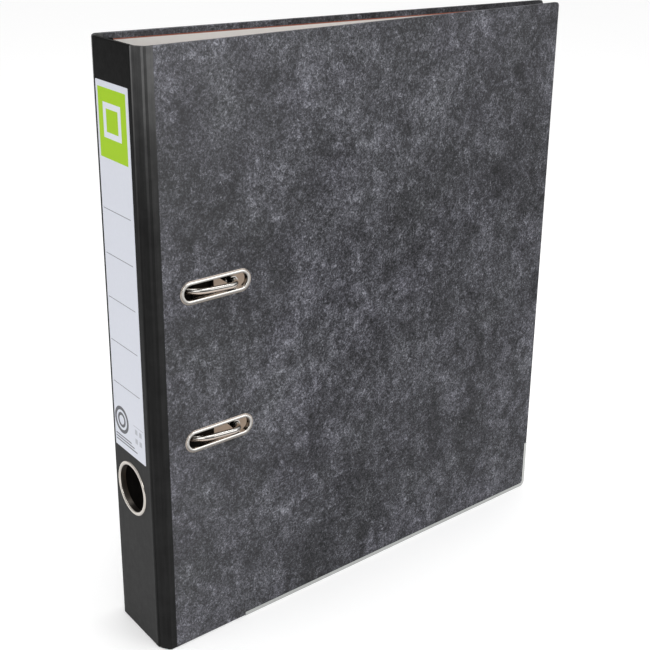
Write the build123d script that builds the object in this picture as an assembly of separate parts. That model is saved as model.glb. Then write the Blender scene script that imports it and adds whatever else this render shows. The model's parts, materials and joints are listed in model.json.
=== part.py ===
from build123d import *
import math
import os

os.makedirs("parts", exist_ok=True)

# A lever arch file, closed and standing on its lower edge, in millimetres.
# +Z is up, the front cover faces -Y and the spine is at -X. The origin is the
# middle of the file's footprint, on the surface that it stands on.

# ---- Case: driving dimensions ----
FILE_HEIGHT = 318.0
SPINE_WIDTH = 40.0
HINGE_WIDTH = 6.9  # strip between the two creases of one hinge
HINGE_BEVEL = 35.5  # degrees, from the spine's plane to the hinge strip
COVER_LENGTH = 281.0
COVER_TAPER = 3.7  # degrees, each cover leans in towards the free edge
PANEL = 2.4  # board with its paper on both faces
SKIN = 0.2  # paper and cloth
CREASE_BACK = 1.4  # from a crease's axis to the start of a board's round end
BLACK_MARGIN = 3.8  # cloth that laps from the hinge onto each cover
LINING_INSET = 3.0  # visible turn-in of the cover paper on the inside
LOWER_CORNER = 3.5  # free corners of the covers
UPPER_CORNER = 1.5
LEAST_CORNER = 0.5  # the least radius of an outline inside them

# ---- Edge guards ----
GUARD_SHEET = 0.3
GUARD_LEG = 2.2
GUARD_START = 49.0
GUARD_TOP = 31.8

# ---- Slots, thumb ring, label ----
HOLE_PITCH = 80.0  # filing standard
SLOTS_Z = 158.0  # midway between the two slots
SLOT_CENTRE = 34.9  # along the front cover from its crease
SLOT_OPEN = (38.0, 8.0)
EYELET_WALL = 0.5
EYELET_FLANGE = 1.75
EYELET_SHEET = 0.5
RING_Z = 86.6
RING_OFFSET = 1.8  # towards the rear cover
RING_OUTER = 14.9
RING_BORE = 12.8
RING_WALL = 0.6
RING_PROUD = 0.8
LABEL_SIZE = (34.5, 191.5)
LABEL_CENTRE = (2.15, 202.6)
LABEL_SHEET = 0.12

# ---- Mechanism, measured on the rear cover: u along it from its crease, z up,
# w from its outer face into the file. Points are (u, w) ----
MECHANISM_Z = 157.0  # midway between the arches, just below the slots' middle
BASE_U = (13.0, 56.5)
BASE_HALF = 70.0
BASE_SHEET = 1.0
BASE_CORNER = 5.0
BASE_TOP = PANEL + BASE_SHEET
LIP = 0.7  # stiffening ribs along the base plate's long edges
LIP_INSET = 21.0
RUN_FIT = 0.05  # clearance of a running fit, on the radius

WIRE_R = 1.6
ARCH_AXIS = (20.0, 6.7)
ARCH_CROWN_W = 47.0
ARCH_CROWN_R = 14.0
ARCH_NOSE_R = 5.2
ARCH_TURN_R = 3.5
ARCH_TIP_W = 39.4
ARCH_POINT = 1.2  # length of the tapered tip that enters a post
ARCH_POINT_R = 1.3
CRANK = (30.2, 5.6)
CRANK_HALF = 10.5
CRANK_TURN_R = 2.2

POST_U = 50.4
POST_R = 2.5
POST_WALL = 0.5
POST_TOP_W = 41.0
POST_FOOT = (4.0, 0.6)  # radius and thickness
POST_FLOOR = 1.0
POST_MOUTH = 3.5  # depth of the notch that the arch's tip swings through

EAR_SHEET = 1.2
ARCH_EAR_R = 3.0
ARCH_EAR_Z = (17.0, 34.0)
LEVER_EAR_R = 3.2
LEVER_EAR_Z = 8.6

LEVER_AXIS = (37.0, 9.0)
LEVER_HALF = 6.7
LEVER_SHEET = 1.0
LEVER_TIP_U = 7.0
LEVER_ROLL_R = 1.3  # rolled edge at the lever's tip
PIN_R = 1.5
PIN_HEAD = (2.2, 0.6)  # radius and thickness
ROLLER_R = 3.0
ROLLER_HALF = 4.4
ROLLER_PIN_R = 1.0
ROLLER_PIN_HEAD = (1.6, 0.5)
ROLLER_BOSS_R = 2.4
ROLLER_GAP = 0.15  # between the crank and the roller with the arches shut

RIVET_U = (17.0, 52.0)
RIVET_Z = 54.0
RIVET_R = 1.9
RIVET_HEAD = (3.6, 0.6)
RIVET_CLINCH = (2.9, 0.6)
RIVET_BORE = 0.9

SPRING_WIRE_R = 0.35
SPRING_R = 2.45
SPRING_PITCH = 1.5
SPRING_Z = (19.0, 31.0)

BAR_WIDTH = 11.0
BAR_HALF = 49.0
BAR_SHEET = 1.0
BAR_CORNER = 3.0
BAR_W = 5.4
BAR_FLANGE = 3.2
BAR_FLANGE_INSET = 6.0
BAR_FIT = 0.1
CLIP_SIZE = (8.2, 8.6)
CLIP_SHEET = 0.5
CLIP_CORNER = 1.5
CLIP_GRIP = (2.0, 3.6)  # half width and height of the tongue on the post

# ---- Derived plan of the case, with the spine's outer face at x = 0 ----
taper = math.radians(COVER_TAPER)
bevel = math.radians(HINGE_BEVEL)
crease_x = HINGE_WIDTH * math.sin(bevel)
crease_y = SPINE_WIDTH / 2 + HINGE_WIDTH * math.cos(bevel)
length = crease_x + COVER_LENGTH * math.cos(taper) + GUARD_SHEET + RING_PROUD
X0 = RING_PROUD - length / 2
BOTTOM = GUARD_SHEET

# Each panel has a plane on its outer face: x along the panel, y up. The front
# planes face outwards and the rear cover's plane faces into the file.
SPINE = Plane((X0, 0, 0), x_dir=(0, -1, 0), z_dir=(-1, 0, 0))
HINGE = Plane(
    (X0, -SPINE_WIDTH / 2, 0),
    x_dir=(math.sin(bevel), -math.cos(bevel), 0),
    z_dir=(-math.cos(bevel), -math.sin(bevel), 0),
)
COVER = Plane(
    (X0 + crease_x, -crease_y, 0),
    x_dir=(math.cos(taper), math.sin(taper), 0),
    z_dir=(math.sin(taper), -math.cos(taper), 0),
)
REAR = Plane(
    (X0 + crease_x, crease_y, 0),
    x_dir=(math.cos(taper), -math.sin(taper), 0),
    z_dir=(-math.sin(taper), -math.cos(taper), 0),
)

# A crease's axis is where the middle planes of its two panels meet. These are
# its distances from the outer corner, along either panel.
spine_crease = PANEL / 2 * math.tan(bevel / 2)
cover_crease = PANEL / 2 * math.tan((math.pi / 2 - bevel + taper) / 2)


def save(node, shape):
    shape.label = node
    export_step(shape, f"parts/{node}.step")


def slab(plane, x, z, n):
    """A block on a panel's plane, from x[0] to x[1], z[0] to z[1], n[0] to n[1]."""
    block = Box(x[1] - x[0], z[1] - z[0], n[1] - n[0], align=(Align.MIN,) * 3)
    return plane * Pos(x[0], z[0], n[0]) * block


def rod(plane, centre, radius, n):
    """A round bar along a panel's normal."""
    bar = Cylinder(radius, n[1] - n[0], align=(Align.CENTER, Align.CENTER, Align.MIN))
    return plane * Pos(centre[0], centre[1], n[0]) * bar


def mirrored(shape):
    return mirror(shape, about=Plane.XZ)


# ---- Case panels ----
def cover_outline(grow, start):
    """The cover's outline grown by a margin: square at the hinge, round at the free corners."""
    low, high = BOTTOM - grow, FILE_HEIGHT + grow
    end = COVER_LENGTH + grow
    sheet = Pos((start + end) / 2, (low + high) / 2) * Rectangle(end - start, high - low)
    lower, upper = sheet.vertices().sort_by(Axis.X)[-2:].sort_by(Axis.Y)
    sheet = fillet(upper, max(UPPER_CORNER + grow, LEAST_CORNER))
    lower = sheet.vertices().sort_by_distance(lower.center())[0]
    return fillet(lower, max(LOWER_CORNER + grow, LEAST_CORNER))


def cover_prism(grow, start, n):
    return COVER * Pos(0, 0, n[0]) * extrude(cover_outline(grow, start), n[1] - n[0])


def round_end(plane, x, n, z):
    """The rounded end that a board has beside a crease."""
    radius = (n[1] - n[0]) / 2
    bar = Cylinder(radius, z[1] - z[0], align=(Align.CENTER, Align.CENTER, Align.MIN))
    return plane * Pos(x, z[0], (n[0] + n[1]) / 2) * Rot(-90, 0, 0) * bar


BOARD_N = (SKIN - PANEL, -SKIN)
BOARD_Z = (BOTTOM + SKIN, FILE_HEIGHT - SKIN)
CASE_Z = (BOTTOM, FILE_HEIGHT)
cover_start = cover_crease + CREASE_BACK
hinge_span = (spine_crease + CREASE_BACK, HINGE_WIDTH - cover_crease - CREASE_BACK)
spine_half = SPINE_WIDTH / 2 - spine_crease - CREASE_BACK


def slot_prism(grow, n):
    """Both filing slots as solids, each grown by a margin."""
    outline = SlotOverall(SLOT_OPEN[0] + 2 * grow, SLOT_OPEN[1] + 2 * grow)
    centres = [(SLOT_CENTRE, SLOTS_Z + side * HOLE_PITCH / 2) for side in (-1, 1)]
    return [COVER * Pos(x, z, n[0]) * extrude(outline, n[1] - n[0]) for x, z in centres]


def cover_board():
    board = cover_prism(-SKIN, cover_start, BOARD_N)
    return board + round_end(COVER, cover_start, BOARD_N, BOARD_Z)


def cover_paper():
    """Paper over the outer face, round the edges and turned in behind them."""
    wrap = cover_prism(0, BLACK_MARGIN, (-PANEL, 0))
    wrap -= cover_prism(-SKIN, BLACK_MARGIN, BOARD_N)
    return wrap - cover_prism(-LINING_INSET, 0, (-PANEL - 1, -PANEL + 1.5 * SKIN))


def cover_lining():
    return cover_prism(-LINING_INSET, cover_start, (-PANEL, -PANEL + SKIN))


def cover_cloth():
    return slab(COVER, (cover_start, BLACK_MARGIN), CASE_Z, (-SKIN, 0))


def edge_guard():
    """A folded steel channel round the bottom edge and the free lower corner."""
    channel = cover_prism(GUARD_SHEET, GUARD_START, (-PANEL - GUARD_SHEET, GUARD_SHEET))
    channel -= cover_prism(-GUARD_LEG, 0, (-PANEL - 1, 1))
    channel -= cover_prism(0, 0, (-PANEL, 0))
    above = slab(COVER, (0, COVER_LENGTH + 5), (GUARD_TOP, FILE_HEIGHT + 5), (-PANEL - 1, 1))
    return channel - above


front_board = cover_board()
front_paper = cover_paper()
front_lining = cover_lining()
for slot in slot_prism(EYELET_WALL + RUN_FIT, (-PANEL - 1, 1)):
    front_board -= slot
    front_paper -= slot
    front_lining -= slot

save("front_cover_board", front_board)
save("front_cover_paper", front_paper)
save("front_cover_lining", front_lining)
save("front_cover_cloth", cover_cloth())
save("front_edge_guard", edge_guard())

rear_board = mirrored(cover_board())
rear_paper = mirrored(cover_paper())
rear_lining = mirrored(cover_lining())

# Slot eyelets: a barrel through the board with a flange on each face.
sleeves = slot_prism(EYELET_WALL, (-PANEL - EYELET_SHEET, EYELET_SHEET))
flanges_out = slot_prism(EYELET_WALL + EYELET_FLANGE, (0, EYELET_SHEET))
flanges_in = slot_prism(EYELET_WALL + EYELET_FLANGE, (-PANEL - EYELET_SHEET, -PANEL))
holes = slot_prism(0, (-PANEL - 2, 2))
for name, sleeve, outer, inner, hole in zip(
    ("lower", "upper"), sleeves, flanges_out, flanges_in, holes
):
    save(f"slot_eyelet_{name}", sleeve + outer + inner - hole)


# ---- Hinge strips ----
def hinge_board():
    board = slab(HINGE, hinge_span, BOARD_Z, BOARD_N)
    for end in hinge_span:
        board += round_end(HINGE, end, BOARD_N, BOARD_Z)
    return board


def hinge_cloth():
    return slab(HINGE, hinge_span, CASE_Z, (-SKIN, 0))


def hinge_lining():
    return slab(HINGE, hinge_span, CASE_Z, (-PANEL, SKIN - PANEL))


save("front_hinge_board", hinge_board())
save("front_hinge_cloth", hinge_cloth())
save("front_hinge_lining", hinge_lining())
save("rear_hinge_board", mirrored(hinge_board()))
save("rear_hinge_cloth", mirrored(hinge_cloth()))
save("rear_hinge_lining", mirrored(hinge_lining()))

# ---- Spine ----
spine_span = (-spine_half, spine_half)
ring_at = (-RING_OFFSET, RING_Z)
ring_hole = rod(SPINE, ring_at, RING_BORE + RING_WALL + RUN_FIT, (-PANEL - 2, 2))
spine_board = slab(SPINE, spine_span, BOARD_Z, BOARD_N)
for end in spine_span:
    spine_board += round_end(SPINE, end, BOARD_N, BOARD_Z)
save("spine_board", spine_board - ring_hole)
save("spine_cloth", slab(SPINE, spine_span, CASE_Z, (-SKIN, 0)) - ring_hole)
save("spine_lining", slab(SPINE, spine_span, CASE_Z, (-PANEL, SKIN - PANEL)) - ring_hole)

label_x = (-LABEL_CENTRE[0] - LABEL_SIZE[0] / 2, -LABEL_CENTRE[0] + LABEL_SIZE[0] / 2)
label_z = (LABEL_CENTRE[1] - LABEL_SIZE[1] / 2, LABEL_CENTRE[1] + LABEL_SIZE[1] / 2)
save("spine_label", slab(SPINE, label_x, label_z, (0, LABEL_SHEET)))

# Thumb ring: a flanged barrel from outside and a washer pressed on inside.
ring_back = -PANEL - RING_PROUD
ring_bore = rod(SPINE, ring_at, RING_BORE, (ring_back - 1, RING_PROUD + 1))
barrel = rod(SPINE, ring_at, RING_BORE + RING_WALL, (ring_back, RING_PROUD))
flange = rod(SPINE, ring_at, RING_OUTER, (0, RING_PROUD))
save("thumb_ring_outer", barrel + flange - ring_bore)
washer = rod(SPINE, ring_at, RING_OUTER, (ring_back, -PANEL))
save("thumb_ring_inner", washer - rod(SPINE, ring_at, RING_BORE + RING_WALL, (ring_back - 1, 0)))

# ---- Rear cover and the parts fixed to it ----
rivet_places = [(u, MECHANISM_Z + side * RIVET_Z) for u in RIVET_U for side in (-1, 1)]
rivet_holes = [rod(REAR, at, RIVET_R + RUN_FIT, (-1, BASE_TOP + 1)) for at in rivet_places]
for hole in rivet_holes:
    rear_board -= hole
    rear_paper -= hole
    rear_lining -= hole
post_places = [(POST_U, MECHANISM_Z + side * HOLE_PITCH / 2) for side in (-1, 1)]
save("rear_cover_board", rear_board)
save("rear_cover_paper", rear_paper)
save("rear_cover_lining", rear_lining)
save("rear_cover_cloth", mirrored(cover_cloth()))
save("rear_edge_guard", mirrored(edge_guard()))


def across(u, w, radius, z):
    """A round bar parallel to Z at a point of the mechanism."""
    bar = Cylinder(radius, z[1] - z[0], align=(Align.CENTER, Align.CENTER, Align.MIN))
    return REAR * Pos(u, z[0], w) * Rot(-90, 0, 0) * bar


def ear(u, w, radius, z, hole):
    """An upright ear on the base plate, square to Z, with a bearing hole."""
    sides = (z - EAR_SHEET / 2, z + EAR_SHEET / 2)
    foot = slab(REAR, (u - radius, u + radius), sides, (PANEL, w))
    head = across(u, w, radius, sides)
    return foot + head - across(u, w, hole, (z - EAR_SHEET, z + EAR_SHEET))


def base_plate():
    low, high = MECHANISM_Z - BASE_HALF, MECHANISM_Z + BASE_HALF
    middle = Pos((BASE_U[0] + BASE_U[1]) / 2, MECHANISM_Z)
    outline = middle * RectangleRounded(BASE_U[1] - BASE_U[0], high - low, BASE_CORNER)
    plate = REAR * Pos(0, 0, PANEL) * extrude(outline, BASE_SHEET)
    for u in (BASE_U[0] + 0.5, BASE_U[1] - 1.5):
        rib_z = (low + LIP_INSET, high - LIP_INSET)
        plate += slab(REAR, (u, u + 1), rib_z, (PANEL, BASE_TOP + LIP))
    for side in (-1, 1):
        for z in ARCH_EAR_Z:
            plate += ear(*ARCH_AXIS, ARCH_EAR_R, MECHANISM_Z + side * z, WIRE_R + RUN_FIT)
        plate += ear(*LEVER_AXIS, LEVER_EAR_R, MECHANISM_Z + side * LEVER_EAR_Z, PIN_R)
    for hole in rivet_holes:
        plate -= hole
    return plate


save("base_plate", base_plate())


def rivet(at):
    """A tubular rivet: a flat head on the cover's outer face, rolled over on the plate."""
    body = rod(REAR, at, RIVET_R, (-RIVET_HEAD[1], BASE_TOP + RIVET_CLINCH[1]))
    head = rod(REAR, at, RIVET_HEAD[0], (-RIVET_HEAD[1], 0))
    clinch = rod(REAR, at, RIVET_CLINCH[0], (BASE_TOP, BASE_TOP + RIVET_CLINCH[1]))
    return body + head + clinch - rod(REAR, at, RIVET_BORE, (0.6, BASE_TOP + 2))


save("mechanism_rivets", Compound([rivet(at) for at in rivet_places]))


def filing_post(at):
    """A hollow post on a foot, its top notched on the side that the arch comes from."""
    tube = rod(REAR, at, POST_R, (BASE_TOP, POST_TOP_W))
    tube += rod(REAR, at, POST_FOOT[0], (BASE_TOP, BASE_TOP + POST_FOOT[1]))
    bore = POST_R - POST_WALL
    tube -= rod(REAR, at, bore, (BASE_TOP + POST_FLOOR, POST_TOP_W + 1))
    mouth_z = (at[1] - bore, at[1] + bore)
    mouth_w = (POST_TOP_W - POST_MOUTH, POST_TOP_W + 1)
    return tube - slab(REAR, (at[0] - POST_R - 1, at[0]), mouth_z, mouth_w)


save("filing_post_lower", filing_post(post_places[0]))
save("filing_post_upper", filing_post(post_places[1]))


def pin(u, w, radius, half, head):
    """A pin along Z with a round head outside each end."""
    shape = across(u, w, radius, (MECHANISM_Z - half, MECHANISM_Z + half))
    for z in (MECHANISM_Z - half - head[1], MECHANISM_Z + half):
        shape += across(u, w, head[0], (z, z + head[1]))
    return shape


save("lever_pin", pin(*LEVER_AXIS, PIN_R, LEVER_EAR_Z + EAR_SHEET / 2 + 0.4, PIN_HEAD))

# ---- Arches: one wire, from one tip over its arch, along the pivot and a
# crank under the lever, and back up over the other arch ----
def arch_wire():
    half = HOLE_PITCH / 2
    side = [
        (POST_U, half, ARCH_TIP_W + ARCH_POINT),
        (POST_U, half, ARCH_CROWN_W),
        (ARCH_AXIS[0], half, ARCH_CROWN_W),
        (ARCH_AXIS[0], half, ARCH_AXIS[1]),
        (ARCH_AXIS[0], CRANK_HALF, ARCH_AXIS[1]),
        (CRANK[0], CRANK_HALF, CRANK[1]),
    ]
    radii = [ARCH_NOSE_R, ARCH_CROWN_R, ARCH_TURN_R, CRANK_TURN_R, ARCH_TURN_R]
    route = side + [(u, -z, w) for u, z, w in reversed(side)]
    path = FilletPolyline(*route, radius=radii + radii[::-1])
    start = Plane(route[0], z_dir=(0, 0, 1))
    wire = sweep(start * Circle(WIRE_R), path=path)
    for z in (half, -half):
        ends = (Align.CENTER, Align.CENTER, Align.MIN)
        wire += Pos(POST_U, z, ARCH_TIP_W) * Cone(ARCH_POINT_R, WIRE_R, ARCH_POINT, align=ends)
    return REAR * Pos(0, MECHANISM_Z, 0) * wire


save("arch_wire", arch_wire())

# ---- Lever ----
roller_at = (CRANK[0] + 0.1, CRANK[1] + WIRE_R + ROLLER_R + ROLLER_GAP)
arm_w = roller_at[1] + ROLLER_R + 0.35 + LEVER_SHEET / 2  # middle of the arm's sheet


def lever():
    """A pressed steel arm: two cheeks at the pivot and an arm that curves down to a rolled tip."""
    path = Spline(
        (LEVER_AXIS[0] + 1.5, arm_w),
        (LEVER_AXIS[0] - 9, arm_w + 0.2),
        (LEVER_TIP_U + 9, arm_w - 1.0),
        (LEVER_TIP_U, LEVER_AXIS[1] + 1.8),
    )
    roll = Pos(LEVER_TIP_U, LEVER_AXIS[1] + 1.4) * Circle(LEVER_ROLL_R)
    profile = trace(path, LEVER_SHEET) + roll
    section = Plane((0, MECHANISM_Z, 0), x_dir=(1, 0, 0), z_dir=(0, -1, 0))
    arm = REAR * section * extrude(profile, LEVER_HALF, both=True)
    for side in (-1, 1):
        outer, inner = MECHANISM_Z + side * LEVER_HALF, MECHANISM_Z + side * (LEVER_HALF - LEVER_SHEET)
        z = (min(outer, inner), max(outer, inner))
        arm += across(*LEVER_AXIS, LEVER_EAR_R, z)
        arm += across(*roller_at, ROLLER_BOSS_R, z)
        front_u = roller_at[0] - ROLLER_BOSS_R
        arm += slab(REAR, (front_u, LEVER_AXIS[0] + 3), z, (roller_at[1], arm_w))
        arm += slab(REAR, (roller_at[0], LEVER_AXIS[0]), z, (LEVER_AXIS[1] - 0.5, arm_w))
        through = (z[0] - 0.5, z[1] + 0.5)
        arm -= across(*LEVER_AXIS, PIN_R + RUN_FIT, through)
        arm -= across(*roller_at, ROLLER_PIN_R, through)
    return arm


save("lever", lever())
save("roller_pin", pin(*roller_at, ROLLER_PIN_R, LEVER_HALF, ROLLER_PIN_HEAD))

roller_z = (MECHANISM_Z - ROLLER_HALF, MECHANISM_Z + ROLLER_HALF)
roller_bore = across(*roller_at, ROLLER_PIN_R + RUN_FIT, (roller_z[0] - 1, roller_z[1] + 1))
save("roller", across(*roller_at, ROLLER_R, roller_z) - roller_bore)

# ---- Torsion springs round the arch pivot ----
for name, low in (("lower", -SPRING_Z[1]), ("upper", SPRING_Z[0])):
    coil = Helix(pitch=SPRING_PITCH, height=SPRING_Z[1] - SPRING_Z[0], radius=SPRING_R)
    start = Plane(coil @ 0, z_dir=coil % 0)
    spring = sweep(start * Circle(SPRING_WIRE_R), path=coil, is_frenet=True)
    seat = REAR * Pos(ARCH_AXIS[0], MECHANISM_Z + low, ARCH_AXIS[1]) * Rot(-90, 0, 0)
    save(f"arch_spring_{name}", seat * spring)


# ---- Compressor bar, which slides on the posts ----
def compressor_bar():
    low, high = MECHANISM_Z - BAR_HALF, MECHANISM_Z + BAR_HALF
    outline = Pos(POST_U, MECHANISM_Z) * RectangleRounded(BAR_WIDTH, high - low, BAR_CORNER)
    bar = REAR * Pos(0, 0, BAR_W) * extrude(outline, BAR_SHEET)
    edge = POST_U + BAR_WIDTH / 2
    flange_z = (low + BAR_FLANGE_INSET, high - BAR_FLANGE_INSET)
    bar += slab(REAR, (edge - BAR_SHEET, edge), flange_z, (BAR_W, BAR_W + BAR_FLANGE))
    for at in post_places:
        bar -= rod(REAR, at, POST_R + BAR_FIT, (BAR_W - 1, BAR_W + 3))
    return bar


def compressor_clip(at):
    """A spring plate on the bar with a tongue that grips the post."""
    seat = BAR_W + BAR_SHEET
    outline = Pos(at[0] - 0.6, at[1]) * RectangleRounded(*CLIP_SIZE, CLIP_CORNER)
    clip = REAR * Pos(0, 0, seat) * extrude(outline, CLIP_SHEET)
    grip = at[0] + POST_R + BAR_FIT
    tongue_z = (at[1] - CLIP_GRIP[0], at[1] + CLIP_GRIP[0])
    clip += slab(REAR, (grip, grip + CLIP_SHEET), tongue_z, (seat, seat + CLIP_GRIP[1]))
    return clip - rod(REAR, at, POST_R + BAR_FIT, (seat - 1, seat + CLIP_GRIP[1] + 1))


save("compressor_bar", compressor_bar())
save("compressor_clip_lower", compressor_clip(post_places[0]))
save("compressor_clip_upper", compressor_clip(post_places[1]))
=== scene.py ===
import json
import math

import bmesh
import bpy
from mathutils import Matrix, Vector


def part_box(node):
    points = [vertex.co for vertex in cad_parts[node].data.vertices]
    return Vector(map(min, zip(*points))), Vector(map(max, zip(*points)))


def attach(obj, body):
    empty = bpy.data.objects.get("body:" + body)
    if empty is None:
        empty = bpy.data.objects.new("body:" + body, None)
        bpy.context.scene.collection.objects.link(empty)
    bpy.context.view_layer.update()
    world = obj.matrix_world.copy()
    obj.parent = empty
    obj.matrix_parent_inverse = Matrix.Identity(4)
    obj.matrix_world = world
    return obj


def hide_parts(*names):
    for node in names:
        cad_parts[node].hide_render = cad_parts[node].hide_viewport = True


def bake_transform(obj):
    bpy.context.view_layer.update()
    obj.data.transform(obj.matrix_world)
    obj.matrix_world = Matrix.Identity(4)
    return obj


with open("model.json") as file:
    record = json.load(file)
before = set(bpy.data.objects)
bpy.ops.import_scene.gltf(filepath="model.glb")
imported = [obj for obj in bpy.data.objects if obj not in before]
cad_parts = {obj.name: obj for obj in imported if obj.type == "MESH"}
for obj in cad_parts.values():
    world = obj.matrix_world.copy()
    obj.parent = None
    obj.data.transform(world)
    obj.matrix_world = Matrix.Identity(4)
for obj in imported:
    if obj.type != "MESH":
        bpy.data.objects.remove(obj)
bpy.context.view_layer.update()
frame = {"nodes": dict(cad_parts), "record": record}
MM = 0.001

# ---- Sizes, in millimetres, as in the CAD frame ----
PANEL = 2.4
SKIN = 0.2
HINGE_WIDTH = 6.9
BEVEL = math.radians(35.5)
TAPER = math.radians(3.7)
COVER_LENGTH = 281.0
HALF_SPINE = 20.0
BLACK_MARGIN = 3.8
LOWER_CORNER = 3.5
UPPER_CORNER = 1.5
GUARD_SHEET = 0.3
GUARD_LEG = 2.2
GUARD_START = 49.0
GUARD_TOP = 31.8
SLOT_CENTRE = 34.9
SLOT_HALF = 19.0
SLOT_RADIUS = 4.0
RING_BORE = 12.8
RING_OUTER = 14.9
RING_PROUD = 0.8
CLOTH = 0.25
SPLIT = 17.3  # on the spine, where the crease pieces of the cloth begin
CLOTH_TURN_IN = 11  # cloth folded in behind the board at its top and bottom
CLOTH_SINK = 0.03  # the cloth lies this much inside the CAD cloth's face
BOARD_GAP = 0.06  # between the board's inner face and the cloth turned in behind it
LINING_TURN_IN = 2.5  # bare board edge above and below the inner lining
BORE_MARGIN = 0.7  # sheets stop this far outside the openings they surround

spine_low, spine_high = (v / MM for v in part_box("spine_cloth"))
X0 = spine_low.x
Z_LOW, Z_HIGH = spine_low.z, spine_high.z
crease_x = HINGE_WIDTH * math.sin(BEVEL)
crease_y = HALF_SPINE + HINGE_WIDTH * math.cos(BEVEL)
cover_crease = PANEL / 2 * math.tan((math.pi / 2 - BEVEL + TAPER) / 2)


def centre_of(node):
    low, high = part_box(node)
    return (low + high) / 2 / MM


class Panel:
    """A panel's outer face: x runs along it, z is up and n is outwards."""

    def __init__(self, origin, along, side=1):
        self.origin = Vector((origin[0], origin[1] * side))
        self.along = Vector((along[0], along[1] * side))
        self.out = Vector((along[1], -along[0] * side)) if side == 1 else Vector((along[1], along[0]))

    def plan(self, x, n=0.0):
        return self.origin + self.along * x + self.out * n

    def at(self, x, z, n):
        p = self.plan(x, n)
        return Vector((p.x, p.y, z))


def cover_panel(side):
    """The front cover for side 1 and the rear cover for side -1."""
    return Panel((X0 + crease_x, -crease_y), (math.cos(TAPER), math.sin(TAPER)), side)


FRONT = cover_panel(1)
REAR = cover_panel(-1)


# ---- Mesh helpers ----
def link(name, bm, materials, smooth_angle=40):
    """A mesh object made from a bmesh in millimetres."""
    bmesh.ops.recalc_face_normals(bm, faces=bm.faces)
    mesh = bpy.data.meshes.new(name)
    bm.to_mesh(mesh)
    bm.free()
    mesh.transform(Matrix.Scale(MM, 4))
    for material in materials:
        mesh.materials.append(material)
    for polygon in mesh.polygons:
        polygon.use_smooth = True
    mesh.set_sharp_from_angle(angle=math.radians(smooth_angle))
    obj = bpy.data.objects.new(name, mesh)
    bpy.context.scene.collection.objects.link(obj)
    return obj


def weigh_normals(obj):
    modifier = obj.modifiers.new("weighted", "WEIGHTED_NORMAL")
    modifier.keep_sharp = True
    modifier.weight = 100


def loft(bm, rings, closed_path=False):
    """Skins a list of closed rings of points, and caps the ends of an open path."""
    verts = [[bm.verts.new(p) for p in ring] for ring in rings]
    count = len(verts)
    for i in range(count if closed_path else count - 1):
        a, b = verts[i], verts[(i + 1) % count]
        for j in range(len(a)):
            k = (j + 1) % len(a)
            bm.faces.new((a[j], a[k], b[k], b[j]))
    if not closed_path:
        bm.faces.new(verts[0])
        bm.faces.new(list(reversed(verts[-1])))


def arc(centre, radius, start, end, steps):
    """Points on an arc, in degrees, as pairs."""
    angles = [math.radians(start + (end - start) * i / steps) for i in range(steps + 1)]
    return [(centre[0] + radius * math.cos(a), centre[1] + radius * math.sin(a)) for a in angles]


def cover_outline(grow, start, low, high):
    """The cover's outline as (x, z) pairs, with round free corners."""
    end = COVER_LENGTH + grow
    low, high = low - grow, high + grow
    r, t = LOWER_CORNER + grow, UPPER_CORNER + grow
    lower = arc((end - r, low + r), r, -90, 0, 8)
    upper = arc((end - t, high - t), t, 0, 90, 8)
    return [(start, low)] + lower + upper + [(start, high)]


def stadium(grow, steps=14):
    """A filing slot's outline round its own middle, grown by a margin."""
    radius, flat = SLOT_RADIUS + grow, SLOT_HALF - SLOT_RADIUS
    return arc((flat, 0), radius, -90, 90, steps) + arc((-flat, 0), radius, 90, 270, steps)


def prism(bm, outline, place, low, high, soften=0.0):
    """A solid between two offsets of an outline; soften rounds the rims of both faces."""
    bottom = [bm.verts.new(place(x, z, low)) for x, z in outline]
    top = [bm.verts.new(place(x, z, high)) for x, z in outline]
    faces = [bm.faces.new(bottom), bm.faces.new(list(reversed(top)))]
    for i in range(len(outline)):
        k = (i + 1) % len(outline)
        bm.faces.new((bottom[i], bottom[k], top[k], top[i]))
    if soften:
        rims = [e for face in faces for e in face.edges]
        bmesh.ops.bevel(bm, geom=rims, offset=soften, segments=3, profile=0.5, affect="EDGES")


def solid(outline, place, low, high):
    bm = bmesh.new()
    prism(bm, outline, place, low, high)
    return link("cutter", bm, [])


def cut(obj, cutters):
    """Takes the cutters away from a mesh for good, and removes them."""
    for cutter in cutters:
        modifier = obj.modifiers.new("cut", "BOOLEAN")
        modifier.operation = "DIFFERENCE"
        modifier.solver = "EXACT"
        modifier.object = cutter
    depsgraph = bpy.context.evaluated_depsgraph_get()
    mesh = bpy.data.meshes.new_from_object(obj.evaluated_get(depsgraph))
    obj.modifiers.clear()
    obj.data = mesh
    for polygon in mesh.polygons:
        polygon.use_smooth = True
    mesh.set_sharp_from_angle(angle=math.radians(40))
    for cutter in cutters:
        bpy.data.objects.remove(cutter)


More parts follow.
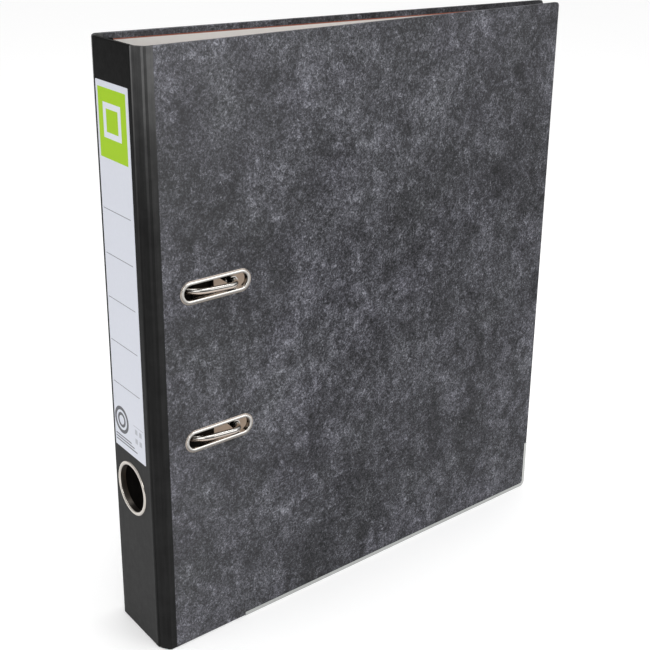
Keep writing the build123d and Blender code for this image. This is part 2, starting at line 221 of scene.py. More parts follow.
# ---- Materials ----
class Nodes:
    """Short forms for building one material's node tree."""

    def __init__(self, name):
        self.material = bpy.data.materials.new(name)
        self.material.use_nodes = True
        self.tree = self.material.node_tree
        self.shader = self.tree.nodes["Principled BSDF"]
        self.coords = self.tree.nodes.new("ShaderNodeTexCoord").outputs["Object"]

    def node(self, kind, **inputs):
        node = self.tree.nodes.new(kind)
        for key, value in inputs.items():
            self.feed(node.inputs[key.replace("_", " ")], value)
        return node

    def feed(self, socket, value):
        if isinstance(value, bpy.types.NodeSocket):
            self.tree.links.new(value, socket)
        else:
            socket.default_value = value

    def scaled(self, scale):
        mapping = self.node("ShaderNodeMapping", Vector=self.coords)
        mapping.inputs["Scale"].default_value = scale
        return mapping.outputs["Vector"]

    def noise(self, scale, detail=4.0, roughness=0.6, distortion=0.0, stretch=(1, 1, 1)):
        """Noise with grains of about 1 / scale metres."""
        node = self.node("ShaderNodeTexNoise", Vector=self.scaled(stretch))
        node.inputs["Scale"].default_value = scale
        node.inputs["Detail"].default_value = detail
        node.inputs["Roughness"].default_value = roughness
        node.inputs["Distortion"].default_value = distortion
        return node.outputs["Fac"]

    def rise(self, low, high, axis="Z"):
        """0 at one place along an axis and 1 at another, both in millimetres."""
        axes = self.node("ShaderNodeSeparateXYZ", Vector=self.coords)
        scale = self.node("ShaderNodeMapRange", Value=axes.outputs[axis])
        scale.inputs["From Min"].default_value = low * MM
        scale.inputs["From Max"].default_value = high * MM
        return scale.outputs["Result"]

    def math(self, operation, a, b=0.0, clamp=False):
        node = self.tree.nodes.new("ShaderNodeMath")
        node.operation = operation
        node.use_clamp = clamp
        self.feed(node.inputs[0], a)
        self.feed(node.inputs[1], b)
        return node.outputs[0]

    def ramp(self, factor, *stops):
        """A colour ramp; each stop is a place and a grey or a colour."""
        node = self.node("ShaderNodeValToRGB", Fac=factor)
        elements = node.color_ramp.elements
        while len(elements) < len(stops):
            elements.new(0.5)
        for element, (place, colour) in zip(elements, stops):
            element.position = place
            rgb = colour if isinstance(colour, tuple) else (colour,) * 3
            element.color = (*rgb, 1)
        return node.outputs["Color"]

    def mix(self, factor, a, b, blend="MIX"):
        node = self.tree.nodes.new("ShaderNodeMix")
        node.data_type = "RGBA"
        node.blend_type = blend
        self.feed(node.inputs[0], factor)
        for socket, value in ((node.inputs[6], a), (node.inputs[7], b)):
            self.feed(socket, (*value, 1) if isinstance(value, tuple) else value)
        return node.outputs[2]

    def bump(self, height, distance, strength=1.0, normal=None):
        node = self.node("ShaderNodeBump", Height=height)
        node.inputs["Distance"].default_value = distance
        node.inputs["Strength"].default_value = strength
        if normal is not None:
            self.feed(node.inputs["Normal"], normal)
        return node.outputs["Normal"]

    def finish(self, colour, roughness, normal=None, **fixed):
        self.feed(self.shader.inputs["Base Color"], colour)
        self.feed(self.shader.inputs["Roughness"], roughness)
        if normal is not None:
            self.feed(self.shader.inputs["Normal"], normal)
        for key, value in fixed.items():
            self.shader.inputs[key.replace("_", " ")].default_value = value
        return self.material


def mottled_paper():
    """Dark cloud paper: fine pale worms and faint drifts of them in a charcoal ground, with painted light
    added towards the spine, the top and the foot.
    """
    n = Nodes("mottled_paper")
    grain = n.noise(980, 2, 0.8, 0.6)
    worms = n.noise(430, 3, 0.75, 1.6, (1, 1, 0.93))
    cloud = n.noise(120, 3, 0.6, 0.8, (1, 1, 0.9))
    drift = n.noise(30, 3, 0.55, 0.4, (1, 1, 0.7))
    value = n.math("ADD", n.math("MULTIPLY", grain, 0.42), n.math("MULTIPLY", worms, 0.48))
    value = n.math("ADD", value, n.math("MULTIPLY", cloud, 0.26))
    value = n.math("ADD", value, n.math("MULTIPLY", n.math("SUBTRACT", drift, 0.55), 0.22))
    patch = n.ramp(n.noise(75, 4, 0.65, 0.5, (1, 1, 0.8)), (0.55, 0.0), (0.72, 1.0))
    value = n.math("ADD", value, n.math("MULTIPLY", patch, 0.045))
    ground = n.ramp(
        value,
        (0.41, (0.005, 0.005, 0.006)),
        (0.50, (0.017, 0.017, 0.019)),
        (0.57, (0.044, 0.044, 0.049)),
        (0.65, (0.112, 0.112, 0.125)),
        (0.76, (0.320, 0.323, 0.350)),
    )
    # Painted light: a haze added to the ground makes the paper lighter towards the spine, the top and the
    # foot, as the light fell on it.
    painted_light_near_spine = n.math("MULTIPLY", n.rise(-30, -137, "X"), 0.023)
    painted_light_near_top = n.math("MULTIPLY", n.rise(200, 318), 0.016)
    painted_light_near_foot = n.math("MULTIPLY", n.rise(150, 80), 0.004)
    haze = n.math("ADD", n.math("ADD", painted_light_near_spine, painted_light_near_top), painted_light_near_foot)
    ground = n.mix(1.0, n.mix(1.0, ground, (0.85, 0.85, 0.85), "MULTIPLY"), haze, "ADD")
    tint = n.mix(n.noise(33, 2, 0.5), (0.97, 1.0, 0.98), (0.98, 0.96, 1.05))
    colour = n.mix(1.0, ground, tint, "MULTIPLY")
    roughness = n.ramp(worms, (0.3, 0.55), (0.7, 0.45))
    normal = n.bump(n.math("ADD", grain, worms), 0.00005, 0.5)
    return n.finish(colour, roughness, normal, Specular_IOR_Level=0.13)


def black_cloth(name, foot, body, head, faintest=0.5):
    """Leather-grained black covering paper, streaked along its length; foot, body and head are greys for
    three heights, a painted light and shade that makes the cloth lighter or darker by height as the light
    falls.
    """
    n = Nodes(name)
    cells = n.node("ShaderNodeTexVoronoi", Vector=n.scaled((1, 1, 0.8)))
    cells.inputs["Scale"].default_value = 1500
    pores = cells.outputs["Distance"]
    streaks = n.noise(520, 4, 0.7, 0.2, (1, 1, 0.035))
    wear = n.math("ADD", n.math("MULTIPLY", n.noise(90, 5, 0.65), 0.5), n.math("MULTIPLY", streaks, 0.5))
    streaked = n.ramp(wear, (0.40, faintest), (0.64, 1.0))
    # Painted light and shade: the grey changes with height to stand in for how the light falls on the
    # cloth.
    lower = n.mix(n.rise(110, 240), (foot,) * 3, (body,) * 3)
    tone = n.mix(n.math("POWER", n.rise(225, 318), 1.7), lower, (head,) * 3)
    colour = n.mix(1.0, tone, streaked, "MULTIPLY")
    roughness = n.ramp(n.noise(240, 4, 0.6), (0.3, 0.44), (0.7, 0.54))
    grain = n.math("ADD", pores, n.math("MULTIPLY", n.noise(700, 3, 0.6), 0.7))
    return n.finish(colour, roughness, n.bump(grain, 0.00005, 0.5), Specular_IOR_Level=0.035)


def plain_paper(name, dark, light, roughness=0.62, edge=None):
    """Uncoated paper with faint fibres; edge is the height in millimetres of a rust-brown cut edge, and
    when it is given the paper also glows warm below 300 mm, a painted bounce light.
    """
    n = Nodes(name)
    fibres = n.noise(420, 5, 0.7, 0.8)
    colour = n.mix(fibres, dark, light)
    if edge:
        colour = n.mix(n.rise(edge - 0.7, edge - 0.5), colour, (0.32, 0.10, 0.06))
        # Painted light: a warm emission low down stands in for light bounced about inside the file.
        painted_bounce_light = n.mix(n.rise(215, 300), (0.085, 0.062, 0.046), (0.0, 0.0, 0.0))
        n.feed(n.shader.inputs["Emission Color"], painted_bounce_light)
        n.shader.inputs["Emission Strength"].default_value = 1.0
    rough = n.ramp(n.noise(150, 3, 0.6), (0.3, roughness - 0.06), (0.7, roughness + 0.06))
    return n.finish(colour, rough, n.bump(fibres, 0.00004, 0.5), Specular_IOR_Level=0.35)


# Painted shade, light and reflection for metals: tones by which way a surface faces, from down (0) to up
# (1).
PAINTED_SHADE_BELOW = ((0.15, 0.38), (0.52, 1.0))
PAINTED_LIGHT_ABOVE = ((0.18, 0.16), (0.42, 0.34), (0.54, 0.58), (0.64, 1.0))
PAINTED_REFLECTION_BANDS = (
    (0.05, 0.12), (0.30, (0.72, 0.60, 0.53)), (0.50, (0.86, 0.80, 0.76)),
    (0.58, 0.13), (0.66, 0.13), (0.74, 1.0),
)


def metal(name, colour, roughness, scratch=(1, 1, 1), dents=0.0000008, shading=PAINTED_SHADE_BELOW):
    """Plated steel with a slight haze and fine drawn lines; shading is painted shade and light, a tone
    that runs from facing down to facing up.
    """
    n = Nodes(name)
    lines = n.noise(900, 4, 0.7, 0.0, scratch)
    haze = n.noise(160, 4, 0.6)
    tone = n.mix(haze, tuple(0.90 * c for c in colour), colour)
    # Painted shade: the tone is darkened or lightened by how far the surface faces up.
    facing = n.tree.nodes.new("ShaderNodeNewGeometry").outputs["Normal"]
    up = n.node("ShaderNodeSeparateXYZ", Vector=facing).outputs["Z"]
    height = n.math("ADD", n.math("MULTIPLY", up, 0.5), 0.5)
    tone = n.mix(1.0, tone, n.ramp(height, *shading), "MULTIPLY")
    rough = n.math("MULTIPLY", n.math("ADD", haze, lines), 0.06)
    rough = n.math("ADD", rough, roughness - 0.03, clamp=True)
    return n.finish(tone, rough, n.bump(lines, dents, 0.5), Metallic=1.0)


def near_black_finish():
    """Near-black steel with fine dust."""
    n = Nodes("near_black_steel")
    dust = n.noise(380, 5, 0.7)
    colour = n.ramp(dust, (0.45, (0.008, 0.008, 0.009)), (0.75, (0.026, 0.026, 0.028)))
    fine_ripple = n.noise(650, 3, 0.5)
    roughness = n.ramp(dust, (0.4, 0.42), (0.7, 0.54))
    return n.finish(colour, roughness, n.bump(fine_ripple, 0.000006, 0.5), Specular_IOR_Level=0.12)


def inside(n, value, low, high):
    """1 where the value is between two limits."""
    return n.math("MULTIPLY", n.math("GREATER_THAN", value, low), n.math("LESS_THAN", value, high))


def label_paper():
    """A printed label: a green tile with a blank plate, rules to write on, and plain marks."""
    n = Nodes("label_paper")
    axes = n.node("ShaderNodeSeparateXYZ", Vector=n.coords)
    s = n.math("ADD", n.math("MULTIPLY", axes.outputs["Y"], 1 / MM), HALF_SPINE)
    z = n.math("MULTIPLY", axes.outputs["Z"], 1 / MM)

    def box(s0, s1, z0, z1):
        return n.math("MULTIPLY", inside(n, s, s0, s1), inside(n, z, z0, z1))

    def ring(s0, z0, inner, outer):
        ds, dz = n.math("SUBTRACT", s, s0), n.math("SUBTRACT", z, z0)
        squares = n.math("ADD", n.math("MULTIPLY", ds, ds), n.math("MULTIPLY", dz, dz))
        return inside(n, n.math("SQRT", squares), inner, outer)

    paper = n.noise(500, 4, 0.6)
    colour = n.mix(paper, (0.66, 0.68, 0.75), (0.71, 0.73, 0.80))
    colour = n.mix(box(7.5, 35.6, 261.5, 295.3), colour, (0.36, 0.60, 0.0))
    colour = n.mix(box(13.0, 30.9, 271.5, 288.5), colour, (0.72, 0.74, 0.81))
    colour = n.mix(box(16.0, 27.9, 274.4, 285.6), colour, (0.36, 0.60, 0.0))
    ink = box(8.0, 36.0, 235.55, 235.95)
    for i in range(1, 5):
        rule = 235.75 - 23.07 * i
        ink = n.math("MAXIMUM", ink, box(8.0, 36.0, rule - 0.2, rule + 0.2))
    colour = n.mix(n.math("MULTIPLY", ink, 0.75), colour, (0.05, 0.05, 0.06))
    marks = n.math("MAXIMUM", ring(29.3, 123.3, 5.6, 7.5), ring(29.3, 123.3, 2.6, 4.2))
    for i in range(3):
        marks = n.math("MAXIMUM", marks, box(19.5 - 3 * i, 36.4, 113.4 - 1.6 * i, 114.1 - 1.6 * i))
    colour = n.mix(n.math("MULTIPLY", marks, 0.88), colour, (0.04, 0.04, 0.045))
    faint = box(6.0, 16.5, 125.2, 125.6)
    for i in range(4):
        side = 8.0 + 4.4 * (i % 2)
        level = 121.0 - 5.2 * (i // 2)
        faint = n.math("MAXIMUM", faint, box(side, side + 2.6, level, level + 2.8))
    colour = n.mix(n.math("MULTIPLY", faint, 0.4), colour, (0.12, 0.12, 0.14))
    return n.finish(colour, 0.42, n.bump(paper, 0.00002, 0.4), Specular_IOR_Level=0.12)


PAPER = mottled_paper()
# The three greys of each cloth are painted light and shade by height.
CLOTH_MATERIAL = black_cloth("black_cloth", 0.039, 0.010, 0.0045, 0.85)
STRIP_CLOTH = black_cloth("strip_cloth", 0.019, 0.017, 0.072, 0.6)
# The lightest cloth, laid along the crease ridges, is a painted highlight.
PAINTED_HIGHLIGHT_CLOTH = black_cloth("painted_highlight_cloth", 0.019, 0.026, 0.165, 0.6)
MARGIN_CLOTH = black_cloth("margin_cloth", 0.020, 0.030, 0.12, 0.6)
INNER_CLOTH_AND_PAINTED_SHADE = black_cloth("inner_cloth_and_painted_shade", 0.016, 0.016, 0.014)
lining_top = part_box("rear_cover_lining")[1].z / MM
LINING = plain_paper("lining_paper", (0.76, 0.735, 0.705), (0.83, 0.805, 0.775), edge=lining_top)
GREYBOARD = plain_paper("greyboard", (0.20, 0.18, 0.16), (0.34, 0.32, 0.29), 0.8)
LABEL = label_paper()
NICKEL = metal("nickel", (0.60, 0.56, 0.51), 0.19)
# A lighter and a darker copy of nickel for the eyelets' bead and flange: painted light and painted shade.
PAINTED_LIGHT_RIM_NICKEL = metal("painted_light_rim_nickel", (0.84, 0.81, 0.77), 0.16, shading=PAINTED_LIGHT_ABOVE)
PAINTED_SHADE_FLANGE_NICKEL = metal("painted_shade_flange_nickel", (0.34, 0.30, 0.265), 0.24)
# Near-black nickel for the inside of the thumb ring's barrel, a painted shade.
PAINTED_SHADE_BARREL_NICKEL = metal("painted_shade_barrel_nickel", (0.10, 0.09, 0.08), 0.35)
GUARD = metal("guard_steel", (0.50, 0.51, 0.50), 0.22, (0.1, 0.1, 1))
PLATED = metal("plated_steel", (0.52, 0.50, 0.475), 0.17, (1, 1, 0.1), 0.0000002)
# The arch wire's light and dark bands, set by which way it faces, are a painted reflection.
ARCH_STEEL_PAINTED_BANDS = metal("arch_steel_painted_bands", (0.66, 0.64, 0.61), 0.13, dents=0.00000001, shading=PAINTED_REFLECTION_BANDS)
ROLLER = metal("roller_steel", (0.58, 0.58, 0.58), 0.28, (0.1, 0.1, 1))
SPRING = metal("spring_steel", (0.48, 0.48, 0.50), 0.30)

NODE_MATERIALS = {
    "greyboard": GREYBOARD,
    "mottled_paper": PAPER,
    "lining_paper": LINING,
    "spine_cloth": CLOTH_MATERIAL,
    "label_paper": LABEL,
    "guard_steel": GUARD,
    "nickel": NICKEL,
    "plated_steel": PLATED,
    "roller_steel": ROLLER,
    "spring_steel": SPRING,
    "black_steel": near_black_finish(),
}
for part in frame["record"]["subparts"]:
    node = frame["nodes"][part["node"]]
    node.data.materials.clear()
    node.data.materials.append(NODE_MATERIALS[part["material_slot"]])
frame["nodes"]["arch_wire"].data.materials[0] = ARCH_STEEL_PAINTED_BANDS


# ---- Covers: paper wrapped round the board ----
def cover_wrap(name, panel, body, nodes):
    """Mottled paper over the outer face, round three edges and turned in behind them."""
    bm = bmesh.new()
    start, inner = BLACK_MARGIN, -PANEL + 0.04
    prism(bm, cover_outline(0, start, Z_LOW, Z_HIGH), panel.at, inner, 0, 0.4)
    wrap = link(name, bm, [PAPER])
    core = cover_outline(-SKIN, start - 5, Z_LOW, Z_HIGH)
    near, far, low, high = start - 5, COVER_LENGTH - 12, Z_LOW + 12, Z_HIGH - 12
    window = [(near, low), (far, low), (far, high), (near, high)]
    cutters = [solid(core, panel.at, SKIN - PANEL, -SKIN), solid(window, panel.at, -PANEL - 1, -1.5)]
    if panel is FRONT:
        for slot in ("slot_eyelet_lower", "slot_eyelet_upper"):
            middle = centre_of(slot).z
            hole = [(SLOT_CENTRE + x, middle + z) for x, z in stadium(BORE_MARGIN)]
            cutters.append(solid(hole, panel.at, -PANEL - 1, 1))
    cut(wrap, cutters)
    weigh_normals(wrap)
    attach(wrap, body)
    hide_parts(*nodes)


cover_wrap("front_cover_wrap", FRONT, "front_cover", ["front_cover_paper"])
cover_wrap("rear_cover_wrap", REAR, "rear_cover", ["rear_cover_paper"])


# ---- Cloth and lining across the creases ----
def bent_path(corners, radius, step):
    """A polyline with rounded corners, as a list of plan points, evenly divided."""
    points = [Vector(c) for c in corners]
    path = [points[0]]
    for i in range(1, len(points) - 1):
        a = (points[i - 1] - points[i]).normalized()
        b = (points[i + 1] - points[i]).normalized()
        half = a.angle(b) / 2
        reach = radius / math.tan(half)
        centre = points[i] + (a + b).normalized() * (radius / math.sin(half))
        first, last = points[i] + a * reach, points[i] + b * reach
        steps = 8
        for k in range(steps + 1):
            blend = first.lerp(last, k / steps) - centre
            path.append(centre + blend.normalized() * radius)
    path.append(points[-1])
    fine = [path[0]]
    for p, q in zip(path, path[1:]):
        count = max(1, round((q - p).length / step))
        fine += [p.lerp(q, (k + 1) / count) for k in range(count)]
    return fine


def crease_stations(side, which):
    """Plan points before, at and after one crease, and the two panels' outward directions."""
    spine = Panel((X0, 0), (0, -1), side)
    hinge = Panel((X0, -HALF_SPINE), (math.sin(BEVEL), -math.cos(BEVEL)), side)
    cover = FRONT if side == 1 else REAR
    middle = hinge.plan(HINGE_WIDTH / 2)
    if which == "spine":
        return spine.plan(SPLIT), spine.plan(HALF_SPINE), middle, (spine.out, hinge.out)
    return middle, cover.plan(0), cover.plan(BLACK_MARGIN + 1.2), (hinge.out, cover.out)


def blend_between(piece):
    """Bakes a piece's placement into its mesh."""
    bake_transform(piece)


def wrap_section(depth_out):
    """The cloth's C section as (n, z) pairs: over the outer face, both ends, and turned in."""
    depth_in, sheet, turn_in, r = BOARD_GAP - PANEL, CLOTH, CLOTH_TURN_IN, 0.45
    low, high = Z_LOW, Z_HIGH
    outer = (
        [(depth_in, low + turn_in)]
        + arc((depth_in + r, low + r), r, 180, 270, 3)
        + arc((depth_out - r, low + r), r, 270, 360, 3)
        + arc((depth_out - r, high - r), r, 0, 90, 3)
        + arc((depth_in + r, high - r), r, 90, 180, 3)
        + [(depth_in, high - turn_in)]
    )
    inner = [
        (depth_in + sheet, high - turn_in),
        (depth_in + sheet, high - sheet),
        (depth_out - sheet, high - sheet),
        (depth_out - sheet, low + sheet),
        (depth_in + sheet, low + sheet),
        (depth_in + sheet, low + turn_in),
    ]
    return outer + inner


def plan_frames(path, start_normal, end_normal):
    """Each plan point of a path with its outward normal."""
    frames = []
    for i, p in enumerate(path):
        before, after = path[max(i - 1, 0)], path[min(i + 1, len(path) - 1)]
        tangent = (after - before).normalized()
        normal = Vector((tangent.y, -tangent.x))
        if normal.dot(start_normal + end_normal) < 0:
            normal.negate()
        frames.append((p, normal))
    return frames


def cloth_over(name, side, which):
    """Black cloth that bends over one crease, pressed in along the crease line, with a painted highlight
    along the ridge.
    """
    a, corner, b, normals = crease_stations(side, which)
    to_a, to_b = (a - corner).normalized(), (b - corner).normalized()
    at_spine = which == "spine"
    path = bent_path([a, corner, b], 0.9 if at_spine else 1.1, 0.4)
    groove_at = corner + to_b * (0.5 if at_spine else 0.0)
    groove_depth = 0.42 if at_spine else 0.28
    rings = []
    for p, normal in plan_frames(path, *normals):
        near = (p - groove_at).length
        press = groove_depth * math.exp(-((near / 0.75) ** 2)) + CLOTH_SINK
        ring = []
        for n, z in wrap_section(0):
            spot = p + normal * (n - press if n > -PANEL / 2 else n)
            ring.append((spot.x, spot.y, z))
        rings.append(ring)
    bm = bmesh.new()
    loft(bm, rings)
    piece = link(name, bm, [STRIP_CLOTH, PAINTED_HIGHLIGHT_CLOTH, CLOTH_MATERIAL, MARGIN_CLOTH], 50)
    painted_highlight, spine_side, margin = 1, 2, 3
    # Faces along the crease ridge get the lightest cloth, a painted highlight.
    ridge = corner + to_a * (1.0 if at_spine else 1.5)
    for polygon in piece.data.polygons:
        spot = Vector(polygon.center[:2]) / MM
        if (spot - ridge).length < 0.55:
            polygon.material_index = painted_highlight
        elif at_spine and (spot - a).length < (corner - a).length - 1.0:
            polygon.material_index = spine_side
        elif not at_spine and (spot - b).length < (corner - b).length - 0.8:
            polygon.material_index = margin
    blend_between(piece)
    return piece


def lining_over(name, side, which):
    """Black lining that bends into one crease on the inside, mitred where it ends on the cover; its reach
    along the cover, to 13 mm, is a dark sheet standing in for shade.
    """
    a, corner, b, normals = crease_stations(side, which)
    if which == "cover":
        # Painted shade: the black sheet runs on along the cover to 13 mm, where there is only shade.
        b = (FRONT if side == 1 else REAR).plan(13.0)
    inwards = PANEL + 0.03
    half_turn = normals[0].angle(normals[1]) / 2
    deep = corner - (normals[0] + normals[1]).normalized() * (inwards / math.cos(half_turn))
    path = bent_path([a - normals[0] * inwards, deep, b - normals[1] * inwards], 0.6, 0.4)
    sheet, square_part = 0.12, 7.5
    rings = []
    for p, normal in plan_frames(path, *normals):
        q = p + normal * sheet
        mitre = LINING_TURN_IN * (1 + max(0.0, (p - deep).length - square_part))
        low, high = Z_LOW + mitre, Z_HIGH - mitre
        rings.append([(p.x, p.y, low), (p.x, p.y, high), (q.x, q.y, high), (q.x, q.y, low)])
    bm = bmesh.new()
    loft(bm, rings)
    piece = link(name, bm, [INNER_CLOTH_AND_PAINTED_SHADE], 50)
    blend_between(piece)
    return piece


for side, end in ((1, "front"), (-1, "rear")):
    at_spine = cloth_over(f"{end}_spine_crease_cloth", side, "spine")
    at_cover = cloth_over(f"{end}_cover_crease_cloth", side, "cover")
    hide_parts(f"{end}_hinge_cloth")
    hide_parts(f"{end}_cover_cloth")
    lining = lining_over(f"{end}_spine_crease_lining", side, "spine")
    lining_over(f"{end}_cover_crease_lining", side, "cover")
    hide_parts(f"{end}_hinge_lining")

# ---- Spine ----
ring_centre = centre_of("thumb_ring_outer")


def round_outline(radius, steps=64):
    return [(ring_centre.y + x, ring_centre.z + z) for x, z in arc((0, 0), radius, 0, 360, steps)[:-1]]


def spine_at(y, z, n):
    return Vector((X0 - n, y, z))


def spine_wrap():
    section = wrap_section(-CLOTH_SINK)
    rings = [[spine_at(y, z, n) for n, z in section] for y in (-SPLIT, SPLIT)]
    bm = bmesh.new()
    loft(bm, rings)
    wrap = link("spine_wrap", bm, [CLOTH_MATERIAL], 50)
    cut(wrap, [solid(round_outline(RING_BORE + BORE_MARGIN), spine_at, -PANEL - 1, 1)])
    weigh_normals(wrap)
    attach(wrap, "spine")
    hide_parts("spine_cloth")


def spine_lining():
    bm = bmesh.new()
    low, high = Z_LOW + LINING_TURN_IN, Z_HIGH - LINING_TURN_IN
    corners = [(-SPLIT, low), (SPLIT, low), (SPLIT, high), (-SPLIT, high)]
    prism(bm, corners, spine_at, -PANEL - 0.03, -PANEL + 0.09)
    sheet = link("spine_inner_lining", bm, [INNER_CLOTH_AND_PAINTED_SHADE])
    cut(sheet, [solid(round_outline(RING_BORE + BORE_MARGIN), spine_at, -PANEL - 1, 1)])
    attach(sheet, "spine")
    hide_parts("spine_lining")


def spine_label():
    low, high = (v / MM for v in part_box("spine_label"))
    radius = 0.6
    y0, y1, z0, z1 = low.y + radius, high.y - radius - 2.0, low.z + radius, high.z - radius
    outline = (
        arc((y1, z0), radius, -90, 0, 4) + arc((y1, z1), radius, 0, 90, 4)
        + arc((y0, z1), radius, 90, 180, 4) + arc((y0, z0), radius, 180, 270, 4)
    )
    bm = bmesh.new()
    prism(bm, outline, spine_at, -0.02, X0 - low.x)
    label = link("spine_label_sheet", bm, [LABEL])
    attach(label, "spine")
    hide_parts("spine_label")


spine_wrap()
spine_lining()
spine_label()


# ---- Rolled metal: thumb ring, slot eyelets, edge guards ----
def rolled_rim(inner, outer, face, back):
    """A barrel and its rolled flange, as (offset, height) pairs from the opening's edge."""
    sheet, crown = 0.5, 0.55
    middle, reach = (inner + outer) / 2, (outer - inner) / 2
    over = [
        (middle - reach * math.cos(a), face + crown * math.sin(a))
        for a in (math.pi * i / 10 for i in range(11))
    ]
    under = [
        (middle + (reach - sheet * 0.8) * math.cos(a), face + (crown - sheet * 0.8) * math.sin(a))
        for a in (math.pi * i / 6 for i in range(7))
    ]
    return [(inner, back)] + over + under[:-1] + [(inner + sheet, face - 0.1), (inner + sheet, back)]


def thumb_ring():
    """The outer half with its barrel, and the inner half that grips it."""
    back = -PANEL - RING_PROUD
    halves = {
        "thumb_ring_outer_half": (rolled_rim(RING_BORE, RING_OUTER, 0.05, back + 0.3), "thumb_ring_outer"),
        "thumb_ring_inner_half": (
            [(r, -PANEL - h) for r, h in rolled_rim(RING_BORE + 0.55, RING_OUTER, 0.03, 0.0)],
            "thumb_ring_inner",
        ),
    }
    for name, (profile, node) in halves.items():
        rings = []
        for a in (math.tau * i / 72 for i in range(72)):
            y, z = math.cos(a), math.sin(a)
            rings.append([spine_at(ring_centre.y + r * y, ring_centre.z + r * z, h) for r, h in profile])
        bm = bmesh.new()
        loft(bm, rings, closed_path=True)
        ring = link(name, bm, [NICKEL, PAINTED_SHADE_BARREL_NICKEL], 60)
        # Faces more than 0.5 mm in from the spine's face get the near-black nickel, a painted shade inside
        # the barrel.
        for polygon in ring.data.polygons:
            if polygon.center.x / MM > X0 + 0.5:
                polygon.material_index = 1
        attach(ring, "spine")
        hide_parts(node)


def slot_eyelet(name, node):
    """An oblong eyelet: a barrel through the cover with a rolled flange on both faces."""
    middle = centre_of(node).z
    flat, radius, steps = SLOT_HALF - SLOT_RADIUS, SLOT_RADIUS, 18
    stations = []
    for centre, start in ((flat, -90), (-flat, 90)):
        for i in range(steps + 1):
            a = math.radians(start + 180 * i / steps)
            stations.append((centre, math.cos(a), math.sin(a)))
    rings = []
    for centre, c, s in stations:
        rings.append(
            [
                FRONT.at(SLOT_CENTRE + centre + (radius + d) * c, middle + (radius + d) * s, h)
                for d, h in eyelet_profile()
            ]
        )
    bm = bmesh.new()
    loft(bm, rings, closed_path=True)
    eyelet = link(name, bm, [PAINTED_LIGHT_RIM_NICKEL, PAINTED_SHADE_FLANGE_NICKEL], 60)
    painted_shade_flange_faces = (10, 11)  # of each ring of faces, on the outer side; they get the darker nickel, a painted shade
    for index, polygon in enumerate(eyelet.data.polygons):
        if index % len(eyelet_profile()) in painted_shade_flange_faces:
            polygon.material_index = 1
    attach(eyelet, "front_cover")
    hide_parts(node)


def eyelet_profile():
    """Closed section of the eyelet, (offset, height): a bead at the hole and a thin flange."""
    width, crown, lip, sheet = 2.2, 0.5, 0.75, 0.42
    angles = [math.pi * i / 10 for i in range(11)]
    over = [(lip - lip * math.cos(a), 0.16 + (crown - 0.16) * math.sin(a)) for a in angles]
    outer = over + [(width - 0.1, 0.12), (width, 0.0)]
    under = [(width - 0.35, -0.02), (sheet, -0.02)]
    inner = [(d, -PANEL - h) for d, h in reversed(outer)]
    back = [(sheet, -PANEL + 0.02), (width - 0.35, -PANEL + 0.02)]
    return outer + under + back + inner


def edge_guard(name, panel, body, node):
    """A folded channel that follows the bottom edge and the free lower corner."""
    legs, sheet, r = GUARD_LEG, GUARD_SHEET, 0.45
    front, back = sheet, -PANEL - sheet
    folds = arc((front - r, sheet - r), r, 0, 90, 4) + arc((back + r, sheet - r), r, 90, 180, 4)
    outer = [(-legs, front)] + [(d, n) for n, d in folds] + [(-legs, back)]
    front, back = front - sheet * 0.8, back + sheet * 0.8
    section = outer + [(-legs, back), (0.02, back), (0.02, front), (-legs, front)]
    corner = (COVER_LENGTH - LOWER_CORNER, Z_LOW + LOWER_CORNER)
    stations = [((GUARD_START, Z_LOW), (0, -1)), ((corner[0], Z_LOW), (0, -1))]
    for i in range(1, 11):
        a = math.radians(-90 + 9 * i)
        c, s = math.cos(a), math.sin(a)
        stations.append(((corner[0] + LOWER_CORNER * c, corner[1] + LOWER_CORNER * s), (c, s)))
    stations.append(((COVER_LENGTH, GUARD_TOP), (1, 0)))
    rings = []
    for (x, z), (ox, oz) in stations:
        rings.append([panel.at(x + ox * d, z + oz * d, n) for d, n in section])
    bm = bmesh.new()
    loft(bm, rings)
    guard = link(name, bm, [GUARD], 45)
    weigh_normals(guard)
    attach(guard, body)
    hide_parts(node)


thumb_ring()
slot_eyelet("slot_rim_lower", "slot_eyelet_lower")
slot_eyelet("slot_rim_upper", "slot_eyelet_upper")
edge_guard("front_guard_channel", FRONT, "front_cover", "front_edge_guard")
edge_guard("rear_guard_channel", REAR, "rear_cover", "rear_edge_guard")


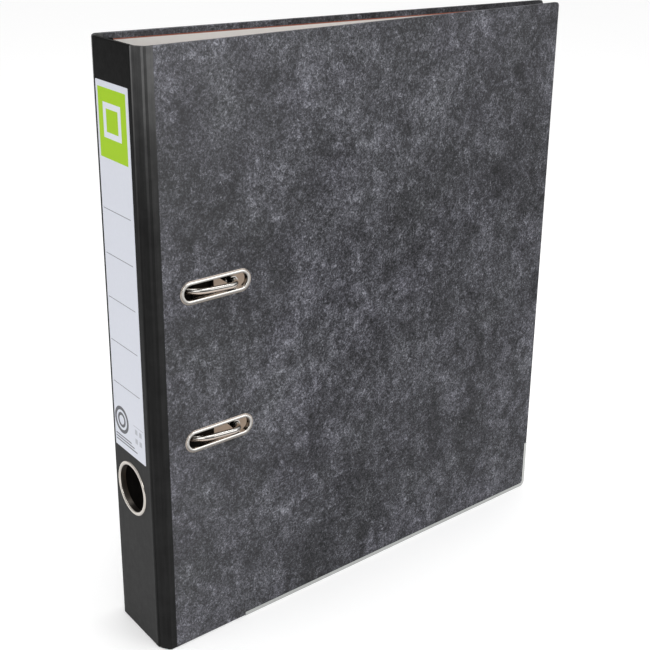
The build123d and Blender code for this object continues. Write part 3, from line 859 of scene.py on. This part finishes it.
# ---- Floor, light and camera ----
def studio():
    bm = bmesh.new()
    bmesh.ops.create_grid(bm, x_segments=1, y_segments=1, size=6000)
    n = Nodes("floor")
    tone = n.mix(n.noise(3, 2), (0.80, 0.80, 0.80), (0.82, 0.82, 0.82))
    floor_material = n.finish(tone, 0.9, Emission_Color=(1, 1, 1, 1), Emission_Strength=0.25)
    floor = link("floor", bm, [floor_material])
    world = bpy.data.worlds.new("studio")
    bpy.context.scene.world = world
    world.use_nodes = True
    tree = world.node_tree
    direction = tree.nodes.new("ShaderNodeTexCoord").outputs["Generated"]
    split = tree.nodes.new("ShaderNodeSeparateXYZ")
    tree.links.new(direction, split.inputs[0])
    sky = tree.nodes.new("ShaderNodeMapRange")
    sky.inputs["From Min"].default_value = 0.0
    sky.inputs["To Min"].default_value = 0.2
    sky.inputs["To Max"].default_value = 1.2
    tree.links.new(split.outputs["Z"], sky.inputs["Value"])
    background = tree.nodes["Background"]
    background.inputs["Color"].default_value = (1, 1, 1, 1)
    tree.links.new(sky.outputs["Result"], background.inputs["Strength"])

    def area(name, place, target, size, power):
        light = bpy.data.lights.new(name, "AREA")
        light.size = size
        light.energy = power
        lamp = bpy.data.objects.new(name, light)
        lamp.location = place
        lamp.rotation_mode = "QUATERNION"
        lamp.rotation_quaternion = (Vector(target) - Vector(place)).to_track_quat("-Z", "Y")
        bpy.context.scene.collection.objects.link(lamp)

    area("key", (0.85, -1.2, 0.6), (0, 0, 0.15), 1.0, 5.5)
    area("overhead", (0.1, -0.1, 1.6), (0, 0, 0), 0.8, 7)
    area("fill", (-0.62, -0.85, 0.62), (0, 0, 0.15), 0.4, 2)


def camera():
    data = bpy.data.cameras.new("camera")
    data.lens = 65.92
    data.sensor_width = 36
    data.shift_x = 0.0011
    data.shift_y = -0.0505
    cam = bpy.data.objects.new("camera", data)
    right = Vector((0.80649, -0.59119, 0.00827))
    up = Vector((0.19883, 0.28435, 0.93788))
    back = Vector((-0.55681, -0.75475, 0.34687))
    place = Vector((X0 - 244.63, -496.99, 398.79)) * MM
    turn = Matrix((right, up, back)).transposed().to_4x4()
    cam.matrix_world = Matrix.Translation(place) @ turn
    bpy.context.scene.collection.objects.link(cam)
    bpy.context.scene.camera = cam


studio()
camera()
bpy.context.scene.view_settings.view_transform = "Standard"
